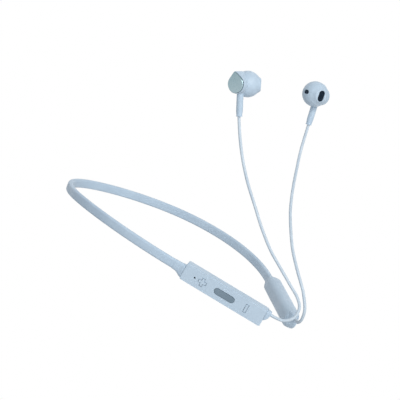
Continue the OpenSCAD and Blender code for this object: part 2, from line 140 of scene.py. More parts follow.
def feed(tree, target, value):
    """Gives an input a plain value, or links it to an output"""
    if isinstance(value, bpy.types.NodeSocket):
        tree.links.new(value, target)
    else:
        target.default_value = value


def add(tree, kind, **settings):
    """A new node; each setting is a property of the node, or else one of its inputs"""
    node = tree.nodes.new(kind)
    for key, value in settings.items():
        if hasattr(node, key):
            setattr(node, key, value)
        else:
            feed(tree, node.inputs[key], value)
    return node


def maths(tree, operation, *values, kind="ShaderNodeMath", **settings):
    """The result of an operation on plain values and outputs"""
    node = add(tree, kind, operation=operation, **settings)
    for target, value in zip(node.inputs, values):
        feed(tree, target, value)
    return node.outputs[0]


def noise(tree, point, **settings):
    """Cloudy noise from 0 to 1"""
    return add(tree, "ShaderNodeTexNoise", Vector=point, **settings).outputs["Fac"]


def object_point(tree):
    """The point in the object's own coordinates"""
    return add(tree, "ShaderNodeTexCoord").outputs["Object"]


def spread(tree, factor, low, high, start=0, end=1):
    """A value that runs from low to high while the factor runs from start to end"""
    ends = {"From Min": start, "From Max": end, "To Min": low, "To Max": high}
    return add(tree, "ShaderNodeMapRange", Value=factor, **ends).outputs["Result"]


# Sockets of a Mix node that is set to colours
MIX_FACTOR, MIX_FIRST, MIX_SECOND, MIX_RESULT = 0, 6, 7, 2


def blend(tree, factor, first, second):
    """From the first colour to the second; each is a plain colour or an output"""
    mix = add(tree, "ShaderNodeMix", data_type="RGBA")
    for i, value in ((MIX_FACTOR, factor), (MIX_FIRST, first), (MIX_SECOND, second)):
        feed(tree, mix.inputs[i], value)
    return mix.outputs[MIX_RESULT]


# Shader groups: each has two scales as inputs, and gives a height and a tone
def new_group(name, **scales):
    """An empty group with its inputs, and its two outputs declared"""
    tree = bpy.data.node_groups.new(name, "ShaderNodeTree")
    for label, value in scales.items():
        socket = tree.interface.new_socket(label, in_out="INPUT", socket_type="NodeSocketFloat")
        socket.default_value = value
    for label in ("Height", "Tone"):
        tree.interface.new_socket(label, in_out="OUTPUT", socket_type="NodeSocketFloat")
    return tree, tree.nodes.new("NodeGroupInput").outputs


def finish_group(tree, height, tone):
    """Links a group's outputs"""
    add(tree, "NodeGroupOutput", Height=height, Tone=tone)
    return tree


PIT_FLOOR, SPECK = 0.2, 0.25


def grain_group():
    """Fine moulded grain, and a slow drift of tone over the surface"""
    tree, given = new_group("moulded_grain", Grain=3500, Drift=70)
    point = object_point(tree)
    fine = noise(tree, point, Scale=given["Grain"], Detail=3, Roughness=0.6)
    pits = add(tree, "ShaderNodeTexVoronoi", Vector=point, Scale=given["Grain"])
    height = maths(tree, "MULTIPLY_ADD", fine, pits.outputs["Distance"], PIT_FLOOR)
    drift = noise(tree, point, Scale=given["Drift"], Detail=2, Roughness=0.5)
    specks = maths(tree, "MULTIPLY", fine, SPECK)
    return finish_group(tree, height, maths(tree, "ADD", drift, specks))


def streak_group():
    """Drawn metal: fine streaks along X, and clouds over them"""
    tree, given = new_group("drawn_streaks", Streaks=6000, Length=0.04)
    point = object_point(tree)
    squeeze = add(tree, "ShaderNodeCombineXYZ", X=given["Length"], Y=1, Z=1).outputs[0]
    drawn = maths(tree, "MULTIPLY", point, squeeze, kind="ShaderNodeVectorMath")
    streak = noise(tree, drawn, Scale=given["Streaks"], Detail=4, Roughness=0.7)
    cloud = noise(tree, point, Scale=220, Detail=2)
    return finish_group(tree, streak, maths(tree, "MULTIPLY", streak, cloud))


GRAIN = grain_group()
STREAKS = streak_group()

# Materials
BUMP_DEPTH = 0.0001
TONE_START, TONE_END = 0.3, 0.8


def new_look(name, values):
    """A material with one Principled shader, its constants set on its own sockets"""
    look = bpy.data.materials.new(name)
    look.use_nodes = True
    tree = look.node_tree
    shader = tree.nodes["Principled BSDF"]
    for label, value in values.items():
        shader.inputs[label].default_value = value
    return look, tree, shader


def dress(tree, shader, colour, rough, height, relief):
    """Links a shader to its colour, roughness and relief"""
    bump = add(tree, "ShaderNodeBump", Height=height, Strength=relief, Distance=BUMP_DEPTH)
    tree.links.new(colour, shader.inputs["Base Color"])
    tree.links.new(rough, shader.inputs["Roughness"])
    tree.links.new(bump.outputs["Normal"], shader.inputs["Normal"])


def surface(name, group, scales, light, deep, rough, relief, values):
    """A material whose colour, roughness and relief all follow one group"""
    look, tree, shader = new_look(name, values)
    detail = add(tree, "ShaderNodeGroup", node_tree=group)
    for target, value in zip(detail.inputs, scales):
        target.default_value = value
    tone = spread(tree, detail.outputs["Tone"], 0, 1, TONE_START, TONE_END)
    smoothest, roughest = rough
    dress(tree, shader, blend(tree, tone, linear(*deep), linear(*light)),
          spread(tree, tone, roughest, smoothest), detail.outputs["Height"], relief)
    return look


# Painted light on the cap: the rim colour is painted shade, a dark reflection painted on the bevel and side wall,
# and the face is painted lighter towards its lower edge, a painted sheen
CAP_DEEP, CAP_LIGHT, CAP_RIM_SHADE = linear(141, 167, 175), linear(174, 193, 199), linear(96, 114, 122)
CAP_SHEEN_SPAN, SHEEN_TONE = (6, -5), 0.5  # heights between which the face gets lighter, and by how much
RIM_SHADE_BACK = (0.1, 0.5)  # depths behind the face between which the rim begins
CAP_ROUGH, CAP_RELIEF = (0.22, 0.34), 0.04


def spun_cap(name, place):
    """Turned metal: fine rings round the middle of the cap, a rim darkened by painted shade, and a painted sheen
    that lightens the face towards its lower edge
    """
    look, tree, shader = new_look(name, METAL)
    ear, up = place.col[X].xyz / MM, place.col[Z].xyz / MM
    local = axes_matrix(ear, up.cross(ear), up, place.translation).inverted()
    point = object_point(tree)
    mapping = add(tree, "ShaderNodeMapping", Vector=point, Location=local.translation,
                  Rotation=local.to_euler(), Scale=local.to_scale()).outputs[0]
    rings = add(tree, "ShaderNodeTexWave", Vector=mapping, wave_type="RINGS", rings_direction="X",
                wave_profile="SIN", Scale=1.9, Distortion=0.6, Detail=2).outputs["Fac"]
    tone = maths(tree, "MULTIPLY", rings, noise(tree, point, Scale=350, Detail=2))
    local_mm = add(tree, "ShaderNodeSeparateXYZ", Vector=mapping).outputs
    # Painted sheen: the face is painted lighter towards its lower edge
    lower = spread(tree, local_mm["Z"], 0, SHEEN_TONE, *CAP_SHEEN_SPAN)
    tone_and_sheen = maths(tree, "ADD", lower, tone, use_clamp=True)
    # Painted shade: the bevel and side wall behind the face take the dark rim colour
    rim = spread(tree, local_mm["X"], 0, 1, *(CAP_X + back for back in RIM_SHADE_BACK))
    colour = blend(tree, rim, blend(tree, tone_and_sheen, CAP_DEEP, CAP_LIGHT), CAP_RIM_SHADE)
    dress(tree, shader, colour, spread(tree, tone, *CAP_ROUGH), rings, CAP_RELIEF)
    return look


SHEEN = {"Sheen Weight": 0.15, "Sheen Roughness": 0.4}
METAL, FOIL, DARK_METAL = {"Metallic": 1.0}, {"Metallic": 0.9}, {"Metallic": 0.3}
PLAIN = {}
# Group and its two scales, light and deep colour, smoothest and roughest, relief, other values
SURFACES = {
    "silicone": (
        GRAIN, (3000, 55), (195, 215, 232), (185, 206, 225), (0.5, 0.62), 0.1, SHEEN),
    "shell_plastic": (
        GRAIN, (5200, 80), (194, 213, 229), (185, 206, 223), (0.4, 0.5), 0.07, PLAIN),
    "face_plastic": (
        GRAIN, (6000, 60), (197, 216, 232), (190, 210, 227), (0.36, 0.46), 0.05, PLAIN),
    "call_key_plastic": (
        GRAIN, (5200, 120), (124, 144, 159), (112, 132, 147), (0.4, 0.5), 0.08, PLAIN),
    "cord_jacket": (
        GRAIN, (4200, 120), (205, 219, 230), (192, 208, 222), (0.42, 0.52), 0.06, PLAIN),
    "grille_mesh": (
        GRAIN, (9000, 900), (34, 62, 86), (20, 40, 58), (0.35, 0.5), 0.1, DARK_METAL),
    "spring_steel": (
        STREAKS, (7000, 0.03), (196, 198, 202), (150, 153, 158), (0.25, 0.4), 0.1, METAL),
    "cable_jacket": (
        GRAIN, (4000, 150), (40, 41, 44), (24, 25, 27), (0.45, 0.6), 0.1, PLAIN),
    "circuit_board": (
        GRAIN, (1500, 400), (34, 112, 70), (20, 82, 50), (0.25, 0.4), 0.2, PLAIN),
    "plated_metal": (
        STREAKS, (6500, 0.1), (212, 213, 214), (178, 180, 184), (0.22, 0.36), 0.06, METAL),
    "chip_black": (
        GRAIN, (8000, 300), (38, 38, 41), (24, 24, 26), (0.45, 0.6), 0.12, PLAIN),
    "cell_foil": (
        GRAIN, (900, 160), (205, 207, 212), (176, 179, 186), (0.28, 0.42), 0.3, FOIL),
    "driver_plastic": (
        GRAIN, (5000, 200), (44, 44, 48), (30, 30, 33), (0.4, 0.55), 0.1, PLAIN),
    "magnet_metal": (
        STREAKS, (6500, 0.2), (206, 207, 210), (170, 172, 177), (0.25, 0.38), 0.06, METAL),
    "diaphragm_film": (
        GRAIN, (2500, 300), (214, 218, 222), (196, 201, 206), (0.18, 0.3), 0.1, PLAIN),
    "grille_backing": (
        GRAIN, (6000, 500), (17, 34, 50), (10, 21, 32), (0.8, 0.9), 0.1, PLAIN),
}
LOOKS = {name: surface(name, *values) for name, values in SURFACES.items()}
LOOKS |= {f"{side}_cap": spun_cap(f"{side}_cap_metal", place) for side, place in BUDS.items()}

# CAD nodes that stay as they are take the look of their own slot
for part in RECORD["subparts"]:
    if part["material_slot"] in LOOKS:
        materials = frame["nodes"][part["node"]].data.materials
        materials.clear()
        materials.append(LOOKS[part["material_slot"]])


# Making pieces
def new_mesh(name, bm):
    """Turns a bmesh into a mesh, and frees it"""
    mesh = bpy.data.meshes.new(name)
    bm.to_mesh(mesh)
    bm.free()
    return mesh


def put(bm, place):
    """Moves a bmesh by a matrix"""
    bmesh.ops.transform(bm, matrix=place, verts=bm.verts)
    return bm


def move(bm, *vec):
    """Shifts a bmesh"""
    bmesh.ops.translate(bm, vec=vec, verts=bm.verts)
    return bm


def piece(name, bm, body, slot, nodes=(), place=None, look=None, crease=35, flat=False):
    """A finished bmesh as an object that rides on its body and stands for its CAD nodes"""
    if place is not None:
        put(bm, place)
        if place.determinant() < 0:
            bmesh.ops.reverse_faces(bm, faces=bm.faces)
    mesh = new_mesh(name, bm)
    mesh.shade_smooth()
    mesh.set_sharp_from_angle(angle=radians(crease))
    mesh.materials.append(LOOKS[look or slot])
    obj = link(name, mesh)
    if flat:
        obj.modifiers.new("weighted", "WEIGHTED_NORMAL").keep_sharp = True
    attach(obj, body)
    if nodes:
        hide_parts(*nodes)


def as_blank(bm):
    """A bmesh as an object for modifiers to work on"""
    return link("blank", new_mesh("blank", bm))


def with_modifiers(bm, *steps):
    """The bmesh after these modifiers; a step is a type and its settings"""
    blanks = [as_blank(bm)]
    for kind, settings in steps:
        modifier = blanks[0].modifiers.new(kind, kind)
        for key, value in settings.items():
            if key == "object":
                value = as_blank(value)
                blanks.append(value)
            setattr(modifier, key, value)
    made = blanks[0].evaluated_get(bpy.context.evaluated_depsgraph_get()).to_mesh()
    result = bmesh.new()
    result.from_mesh(made)
    for blank in blanks:
        bpy.data.meshes.remove(blank.data)
    return result


def boolean(bm, other, operation):
    """The two solids combined"""
    settings = {"operation": operation, "solver": "EXACT", "object": other}
    return with_modifiers(bm, ("BOOLEAN", settings))


def cut(bm, *cutters):
    """Takes each cutter off in turn"""
    for cutter in cutters:
        bm = boolean(bm, cutter, "DIFFERENCE")
    return bm


def join(bm, other):
    return boolean(bm, other, "UNION")


def block(low, high):
    """A box between two corners"""
    bm = bmesh.new()
    bmesh.ops.create_cube(bm, size=1)
    low, high = Vector(low), Vector(high)
    bmesh.ops.scale(bm, vec=high - low, verts=bm.verts)
    return move(bm, *(low + high) / 2)


def pin(radius, low, high, steps=32):
    """An upright cylinder between two heights"""
    bm = bmesh.new()
    bmesh.ops.create_cone(bm, cap_ends=True, segments=steps, radius1=radius, radius2=radius,
                          depth=high - low)
    return move(bm, 0, 0, (low + high) / 2)


def turned(profile, steps=48):
    """A body of revolution round Z from (radius, z) points"""
    bm = bmesh.new()
    verts = [bm.verts.new((r, 0, z)) for r, z in profile]
    edges = [bm.edges.new(pair) for pair in zip(verts, verts[1:])]
    bmesh.ops.spin(bm, geom=verts + edges, axis=(0, 0, 1), cent=(0, 0, 0), steps=steps,
                   angle=2 * pi, use_merge=True)
    bmesh.ops.remove_doubles(bm, verts=bm.verts, dist=1e-4)
    bmesh.ops.recalc_face_normals(bm, faces=bm.faces)
    return bm


STRAIGHT = 0.9  # share of a direction that makes it run along an axis
TOUCHING = 1e-3


def pick_edges(bm, along=None, at=None, where=None):
    """Edges along an axis, at a level (axis, value) and with their middle where it is asked"""
    def wanted(a, b):
        if along is not None and abs((b - a).normalized()[along]) <= STRAIGHT:
            return False
        if at is not None:
            axis, level = at
            if max(abs(a[axis] - level), abs(b[axis] - level)) >= TOUCHING:
                return False
        return where is None or where((a + b) / 2)
    return [edge for edge in bm.edges if wanted(*(v.co for v in edge.verts))]


def round_edges(bm, radius, segments, **which):
    """Rounds the edges that pick_edges finds"""
    bmesh.ops.bevel(bm, geom=pick_edges(bm, **which), offset=radius, offset_type="OFFSET",
                    segments=segments, profile=0.5, affect="EDGES", clamp_overlap=True, material=-1)


def rounded_face(a, b, corner, segments=5):
    """A flat rounded rectangle on the XY plane"""
    bm = bmesh.new()
    bmesh.ops.create_grid(bm, x_segments=1, y_segments=1, size=0.5)
    bmesh.ops.scale(bm, vec=(a, b, 1), verts=bm.verts)
    bmesh.ops.bevel(bm, geom=bm.verts[:], offset=corner, offset_type="OFFSET", segments=segments,
                    profile=0.5, affect="VERTICES", clamp_overlap=True, material=-1)
    return bm


def draw_out(bm, face, keep=False):
    """Extrudes a face in place and gives the new one; the old one goes, unless it is an end"""
    made = bmesh.ops.extrude_face_region(bm, geom=[face])["geom"]
    if not keep:
        bmesh.ops.delete(bm, geom=[face], context="FACES_ONLY")
    return next(g for g in made if isinstance(g, bmesh.types.BMFace))


def loft(bm, stations):
    """Draws the bmesh's one face through the stations, matrices that place and size the section"""
    bm.faces.ensure_lookup_table()
    face = bm.faces[0]
    put(bm, stations[0])
    for i, (before, after) in enumerate(zip(stations, stations[1:])):
        face = draw_out(bm, face, keep=(i == 0))
        bmesh.ops.transform(bm, matrix=after @ before.inverted(), verts=face.verts)
    bmesh.ops.recalc_face_normals(bm, faces=bm.faces)
    return bm


# Cords: the points they hang through, in the part's own frame
RIGHT_BENDS = [
    (-7, -153.5, -98), (-3.5, -158, -96), (-2, -160.5, -90.5), (-3.5, -160, -84.5),
    (-6, -157, -77.5), (-9.5, -153, -68), (-13, -148.5, -57.5), (-16, -144.5, -44.5),
    (-18.5, -141.5, -31.5), (-21, -138.5, -18.5), (-23, -136.5, -5.5), (-25, -136, 7)]
LEFT_BENDS = [
    (6.5, -153.5, -98), (4, -158, -96.5), (2, -161.5, -91), (1.5, -161, -82),
    (1, -160, -77), (0.5, -157.5, -68), (2, -153.5, -56), (6, -149.5, -43.5),
    (11.5, -145.5, -30.5), (18.6, -142.2, -17.2), (25.9, -140.1, -3.4), (32.2, -139.2, 10.4)]
EXIT_LEAD = Vector((3, 0, 0))
CORD_IN_SLEEVE = 2.8


def smooth_spline(curve, points):
    """A curve through its points; a handle is a sixth of the chord between the two neighbours"""
    spline = curve.splines.new("BEZIER")
    spline.bezier_points.add(len(points) - 1)
    for i, (knot, p) in enumerate(zip(spline.bezier_points, points)):
        before = points[i - 1] if i else 2 * p - points[1]
        after = points[i + 1] if i + 1 < len(points) else 2 * p - points[i - 1]
        knot.handle_left_type = knot.handle_right_type = "FREE"
        knot.co = p
        knot.handle_left = p - (after - before) / 6
        knot.handle_right = p + (after - before) / 6


def make_cord(side, module, bends, below):
    """A cord from its boot, straight out, through its bends to below the stem and up into it"""
    def stem_point(drop):
        return BUDS[side] @ Vector((0, 0, -STEM_L - drop))
    leave = MODULES[module] @ BOOT_TIP
    points = [leave, MODULES[module] @ (BOOT_TIP + EXIT_LEAD)]
    points += [Vector(p) * MM for p in bends]
    points += [stem_point(below), stem_point(-CORD_IN_SLEEVE)]
    curve = bpy.data.curves.new(f"{side}_cord_run", "CURVE")
    curve.dimensions = "3D"
    curve.bevel_depth = CORD_D / 2 * MM
    curve.bevel_resolution = 5
    curve.resolution_u = 10
    curve.use_fill_caps = True
    smooth_spline(curve, points)
    curve.materials.append(LOOKS["cord_jacket"])
    obj = link(f"{side}_cord_run", curve)
    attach(obj, "neckband")
    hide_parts(f"{side}_cord")


make_cord("right", "remote", RIGHT_BENDS, below=2)
make_cord("left", "battery", LEFT_BENDS, below=2.5)

# Strap: a flat band with two radii on each side, bent out of its plane from nape to front
NAPE_R, NAPE_TURN = 60, radians(72)
SIDE_R, SIDE_TURN = 95, radians(51)
NAPE_LEN, SIDE_LEN = NAPE_R * NAPE_TURN, SIDE_R * SIDE_TURN
NAPE_PITCH, FRONT_PITCH = radians(26), radians(38)
STRAP_STEPS = 128


def strap_place(s):
    """Place of the strap's section at s along its middle line: X into the loop, Y up its width"""
    def side_ahead(turn):
        return NAPE_R * (1 - cos(NAPE_TURN)) + SIDE_R * (cos(NAPE_TURN) - cos(turn))
    side, run = (1 if s > 0 else -1), abs(s)
    if run < NAPE_LEN:
        turn = run / NAPE_R
        across, ahead = NAPE_R * sin(turn), NAPE_R * (1 - cos(turn))
    else:
        turn = NAPE_TURN + (run - NAPE_LEN) / SIDE_R
        across = NAPE_R * sin(NAPE_TURN) + SIDE_R * (sin(turn) - sin(NAPE_TURN))
        ahead = side_ahead(turn)
    reach = side_ahead(NAPE_TURN + SIDE_TURN)
    pitch = NAPE_PITCH + (FRONT_PITCH - NAPE_PITCH) * ahead / reach
    roll = reach / (FRONT_PITCH - NAPE_PITCH)
    point = Vector((side * across, -roll * (sin(pitch) - sin(NAPE_PITCH)),
                    roll * (cos(pitch) - cos(NAPE_PITCH))))
    turn *= side
    inward = Vector((-sin(turn), -cos(turn) * cos(pitch), -cos(turn) * sin(pitch)))
    up = Vector((0, -sin(pitch), cos(pitch)))
    return axes_matrix(inward, up, inward.cross(up), point * MM)


def make_strap():
    half = NAPE_LEN + SIDE_LEN
    stations = [strap_place(-half + 2 * half * i / STRAP_STEPS) for i in range(STRAP_STEPS + 1)]
    bm = loft(rounded_face(STRAP_T, STRAP_W, STRAP_EDGE), stations)
    piece("strap", bm, "neckband", "silicone", ["strap_sleeve"])


make_strap()

# Modules. ALONG lays an upright shape along X, FACE_OUT turns its top to the module's face.
ALONG = Matrix(((0, 0, 1, 0), (1, 0, 0, 0), (0, 1, 0, 0), (0, 0, 0, 1)))
FACE_OUT = Matrix(((1, 0, 0, 0), (0, 0, -1, 0), (0, 1, 0, 0), (0, 0, 0, 1)))
WALL = 0.9
THROUGH = 1  # how far a cutter reaches past a surface
# Radii for a full round are a little under half the width, so that no face is left without area
PILL, HINGE_ROUND = 0.998, 0.99


def section(x, thick=1, wide=1, rise=0):
    """Place of a section across X: its own X becomes the thickness and its Y the width"""
    return Matrix.Translation((x, 0, rise)) @ ALONG @ Matrix.Diagonal((thick, wide, 1, 1))


def module_blank(low_y, high_y, inset, corner, over):
    """A block with rounded corners in a module's outline; over is how far its two ends stand out"""
    strap_over, cord_over = over
    bm = block((inset - strap_over, low_y, LOWER_Z + inset),
               (MODULE_L - inset + cord_over, high_y, -LOWER_Z - inset))
    round_edges(bm, corner, segments=8, along=Y)
    return bm


def slot_block(length, width, low, high):
    """An upright pill along X between two heights"""
    bm = block((-length / 2, -width / 2, low), (length / 2, width / 2, high))
    round_edges(bm, width / 2 * PILL, segments=10, along=Z)
    return bm


def facing(bm, x):
    """Turns an upright shape so that its top looks out of the module's face, at x along it"""
    return put(bm, Matrix.Translation((x, 0, 0)) @ FACE_OUT)


# Keys
SIGN_L, SIGN_W = 4.8, 1.5
CALL_L, CALL_W = 12.9, 3.4
KEY_PROUD, KEY_EDGE, HOLE_GAP = 0.35, 0.22, 0.2
FLANGE_Y, FLANGE_T = -2.1, 0.5
KEY_ROOT = 0.1
NUB_R, NUB_PROUD = 1, 0.15


def plus_block(grow, low, high):
    """An upright plus sign between two heights, from a core with four arms drawn out"""
    half = SIGN_W / 2 + grow
    bm = block((-half, -half, low), (half, half, high))
    bm.normal_update()
    for side in [f for f in bm.faces if abs(f.normal.z) < STRAIGHT]:
        out = side.normal * (SIGN_L - SIGN_W) / 2
        bmesh.ops.translate(bm, vec=out, verts=draw_out(bm, side).verts)
    bmesh.ops.recalc_face_normals(bm, faces=bm.faces)
    return bm


def minus_block(grow, low, high):
    """An upright minus sign, across the module"""
    half_w, half_l = SIGN_W / 2 + grow, SIGN_L / 2 + grow
    return block((-half_w, -half_l, low), (half_w, half_l, high))


def call_block(grow, low, high):
    """The long key in the middle"""
    return slot_block(CALL_L + 2 * grow, CALL_W + 2 * grow, low, high)


# A key's place along the module, and half the length and width of its flange
Key = namedtuple("Key", "shape x slot flange")
KEYS = {
    "plus": Key(plus_block, 12.8, "face_plastic", (3.3, 3.3)),
    "minus": Key(minus_block, 41.9, "face_plastic", (1.5, 3.3)),
    "call": Key(call_block, 27.5, "call_key_plastic", (3.2, 2.6)),
}


def make_keys(place):
    """Each key has a flange behind the plate, and a nub for its switch"""
    for name, key in KEYS.items():
        top = -FACE_Y + KEY_PROUD
        bm = key.shape(0, -FLANGE_Y - KEY_ROOT, top)
        round_edges(bm, KEY_EDGE, segments=4, at=(Z, top))
        half_l, half_w = key.flange
        low = -FLANGE_Y - FLANGE_T
        bm = join(bm, block((-half_l, -half_w, low), (half_l, half_w, -FLANGE_Y)))
        bm = join(bm, pin(NUB_R, low - NUB_PROUD, -FLANGE_Y - KEY_ROOT))
        piece(f"{name}_key_top", facing(bm, key.x), f"{name}_key", key.slot, [f"{name}_button"],
              place, flat=True)


# Face plates and the microphone's hole
PLATE_INSET, PLATE_EDGE = 0.15, 0.16
MIC_X, MIC_R = 7.7, 0.55
GAUZE_GAP, GAUZE_ROOT, GAUZE_DEPTH, GAUZE_EDGE = 0.03, 0.1, 0.35, 0.12


def plate_holes():
    """Cutters through the plate for the keys and the microphone"""
    low, high = -SEAM_Y - THROUGH, -FACE_Y + THROUGH
    holes = [facing(key.shape(HOLE_GAP, low, high), key.x) for key in KEYS.values()]
    return holes + [facing(pin(MIC_R, low, high), MIC_X)]


def make_face_plate(name, place, corner, over, holes=()):
    """The flat front of a module"""
    bm = cut(module_blank(FACE_Y, SEAM_Y, PLATE_INSET, corner, over), *holes)
    round_edges(bm, PLATE_EDGE, segments=3, at=(Y, FACE_Y))
    piece(f"{name}_front_panel", bm, "neckband", "face_plastic", [f"{name}_face_plate"], place,
          flat=True)


def make_mic_gauze(place):
    """The dark gauze behind the microphone's hole"""
    level = FACE_Y + GAUZE_DEPTH
    bm = facing(pin(MIC_R - GAUZE_GAP, -SEAM_Y + GAUZE_ROOT, -level), MIC_X)
    round_edges(bm, GAUZE_EDGE, segments=2, at=(Y, level))
    piece("mic_gauze", bm, "neckband", "grille_mesh", [], place, "grille_backing", flat=True)


# The control module's back, with the charging port and its cover
REMOTE_OVER = (0, 0)
PLATE_CORNER, SHELL_CORNER, CAVITY_CORNER = 0.8, 0.5, 0.2
BROW, LOWER_EDGE = 6.1, 2.5
NEAR_EDGE = 4  # heights past this are at the upper or lower edge
PORT = Vector((19.7, 0.5))
PORT_W, PORT_H, PORT_PLAY, PORT_DEPTH = 8.9, 3.2, 0.4, 2
COVER_L, COVER_W, COVER_T = 11.4, 3.6, 0.7
POCKET_DEPTH, POCKET_PLAY_L, POCKET_PLAY_W = 0.85, 0.25, 0.15
PAD_RIM, PAD_LOW = 0.35, 0.45


def remote_form(inset, corner):
    """The solid back of the control module, with a wide round along its upper edge"""
    back = BACK_Y - inset
    bm = module_blank(SEAM_Y - inset, back, inset, corner, REMOTE_OVER)
    round_edges(bm, BROW - inset, segments=14, along=X, at=(Y, back),
                where=lambda m: m.z > NEAR_EDGE)
    round_edges(bm, LOWER_EDGE - inset, segments=8, along=X, at=(Y, back),
                where=lambda m: m.z < -NEAR_EDGE)
    return bm


def port_block(half_l, half_w, low, high):
    """A block centred on the port"""
    return block((PORT.x - half_l, PORT.y - half_w, low), (PORT.x + half_l, PORT.y + half_w, high))


def make_remote_back(place):
    """The hollow back, with a pad inside it that holds the cover's pocket and the port"""
    bm = cut(remote_form(0, SHELL_CORNER), remote_form(WALL, CAVITY_CORNER))
    mouth = LOWER_Z + POCKET_DEPTH
    half_l, half_w = COVER_L / 2 + POCKET_PLAY_L, COVER_W / 2 + POCKET_PLAY_W
    bm = join(bm, port_block(half_l + PAD_RIM, half_w + PAD_RIM, LOWER_Z + PAD_LOW, mouth + WALL))
    socket = slot_block(PORT_W + PORT_PLAY, PORT_H + PORT_PLAY, LOWER_Z - THROUGH,
                        mouth + PORT_DEPTH)
    bm = cut(bm, port_block(half_l, half_w, LOWER_Z - THROUGH, mouth), move(socket, *PORT, 0))
    piece("remote_back", bm, "neckband", "shell_plastic", ["remote_back_shell"], place, flat=True)


COVER_CORNER, COVER_EDGE, COVER_END = 0.5, 0.14, 0.1
TAB_START, TAB_END, TAB_W = 20.2, 22.2, 1.8
TAB_PROUD, TAB_ROOT, TAB_CORNER, TAB_EDGE = 0.5, 0.3, 0.45, 0.2


def make_port_cover(place):
    """The cover, round at its hinge on the right, with the tab that lifts it"""
    left, right = PORT.x - COVER_L / 2, PORT.x + COVER_L / 2
    bm = port_block(COVER_L / 2, COVER_W / 2, LOWER_Z, LOWER_Z + COVER_T)
    round_edges(bm, COVER_T / 2 * HINGE_ROUND, segments=6, along=Y,
                where=lambda m: m.x > right - COVER_END)
    round_edges(bm, COVER_CORNER, segments=5, along=Z, where=lambda m: m.x < left + COVER_END)
    round_edges(bm, COVER_EDGE, segments=3, at=(Z, LOWER_Z),
                where=lambda m: m.x < right - COVER_CORNER)
    tab_low = LOWER_Z - TAB_PROUD
    tab = block((TAB_START, PORT.y - TAB_W / 2, tab_low),
                (TAB_END, PORT.y + TAB_W / 2, LOWER_Z + TAB_ROOT))
    round_edges(tab, TAB_CORNER, segments=5, along=Z)
    round_edges(tab, TAB_EDGE, segments=4, at=(Z, tab_low))
    piece("port_lid", join(bm, tab), "port_flap", "silicone", ["port_cover"], place, flat=True)


# The battery module, with fully rounded ends
BATTERY_OVER = (2.8, 1.6)
BATTERY_CORNER, BATTERY_RIM = 5, 4


def battery_form(inset, front):
    """The solid battery module, from a level at its front to its rounded back"""
    back = BACK_Y - inset
    bm = module_blank(front, back, inset, BATTERY_CORNER - inset, BATTERY_OVER)
    round_edges(bm, BATTERY_RIM - inset, segments=10, at=(Y, back))
    return bm


def make_battery_back(place):
    """The hollow back of the battery module"""
    bm = cut(battery_form(0, SEAM_Y), battery_form(WALL, SEAM_Y - WALL))
    piece("battery_back", bm, "neckband", "shell_plastic", ["battery_back_shell"], place, flat=True)


# Soft boots at the modules' ends, as steps of x, thickness, width and rise
NECK_L, GRIP = 7, 0.2
STRAP_BOOT = [(-NECK_L, STRAP_T + GRIP, STRAP_W + GRIP, 0), (-4.6, 3.5, 6, -0.05),
              (-3, 4.1, 6.7, -0.35), (-1.5, 5.1, 7.6, -0.7), (0, 6.2, 8.1, -0.9)]
CORD_BOOT = [(MODULE_L, 6, 6.3, 2), (MODULE_L + 0.9, 5.6, 5.8, 2.3),
             (MODULE_L + 1.7, 5, 4.8, 2.75), (MODULE_L + 2.3, 4, 3.8, 3.2)]
STRAP_BOOT_LIP, CORD_BOOT_EDGE = 0.15, 1
# Radius and height of the collar round the cord
COLLAR_L = 0.75
COLLAR = [(0, 0), (1.6, 0), (1.85, 0.15), (1.85, 0.55), (1.65, COLLAR_L), (0, COLLAR_L)]
# How far the battery module's boots run on into its rounded ends
STRAP_BOOT_ROOT, CORD_BOOT_ROOT = 2, 3


def soft_boot(steps, edge):
    """A boot through its steps, from a first section with rounded corners"""
    _, thick, wide, _ = steps[0]
    stations = [section(x, t / thick, w / wide, rise) for x, t, w, rise in steps]
    return loft(rounded_face(thick, wide, edge), stations)


def make_strap_boot(name, place, rooted):
    """The boot that grips the strap and spreads to the module's end"""
    root = [(STRAP_BOOT_ROOT, *STRAP_BOOT[-1][1:])] if rooted else []
    bm = soft_boot(STRAP_BOOT + root, STRAP_EDGE)
    round_edges(bm, STRAP_BOOT_LIP, segments=3, at=(X, -NECK_L))
    if rooted:
        bm = cut(bm, battery_form(0, FACE_Y))
    piece(f"{name}_strap_end", bm, "neckband", "silicone", [f"{name}_strap_boot"], place)


def make_cord_boot(name, place, rooted):
    """The tapered boot where the cord leaves, with a small collar round the cord"""
    root = [(MODULE_L - CORD_BOOT_ROOT, *CORD_BOOT[0][1:])] if rooted else []
    bm = soft_boot(root + CORD_BOOT, CORD_BOOT_EDGE)
    bm = join(bm, put(turned(COLLAR, steps=32), section(BOOT_TIP.x - COLLAR_L, rise=BOOT_TIP.z)))
    if rooted:
        bm = cut(bm, battery_form(0, FACE_Y))
    piece(f"{name}_cord_end", bm, "neckband", "silicone", [f"{name}_cord_boot"], place)


def make_modules():
    remote, battery = MODULES["remote"], MODULES["battery"]
    make_face_plate("remote", remote, PLATE_CORNER, REMOTE_OVER, plate_holes())
    make_mic_gauze(remote)
    make_keys(remote)
    make_remote_back(remote)
    make_port_cover(remote)
    make_strap_boot("remote", remote, False)
    make_cord_boot("remote", remote, False)
    make_face_plate("battery", battery, BATTERY_CORNER, BATTERY_OVER)
    make_battery_back(battery)
    make_strap_boot("battery", battery, True)
    make_cord_boot("battery", battery, True)


make_modules()

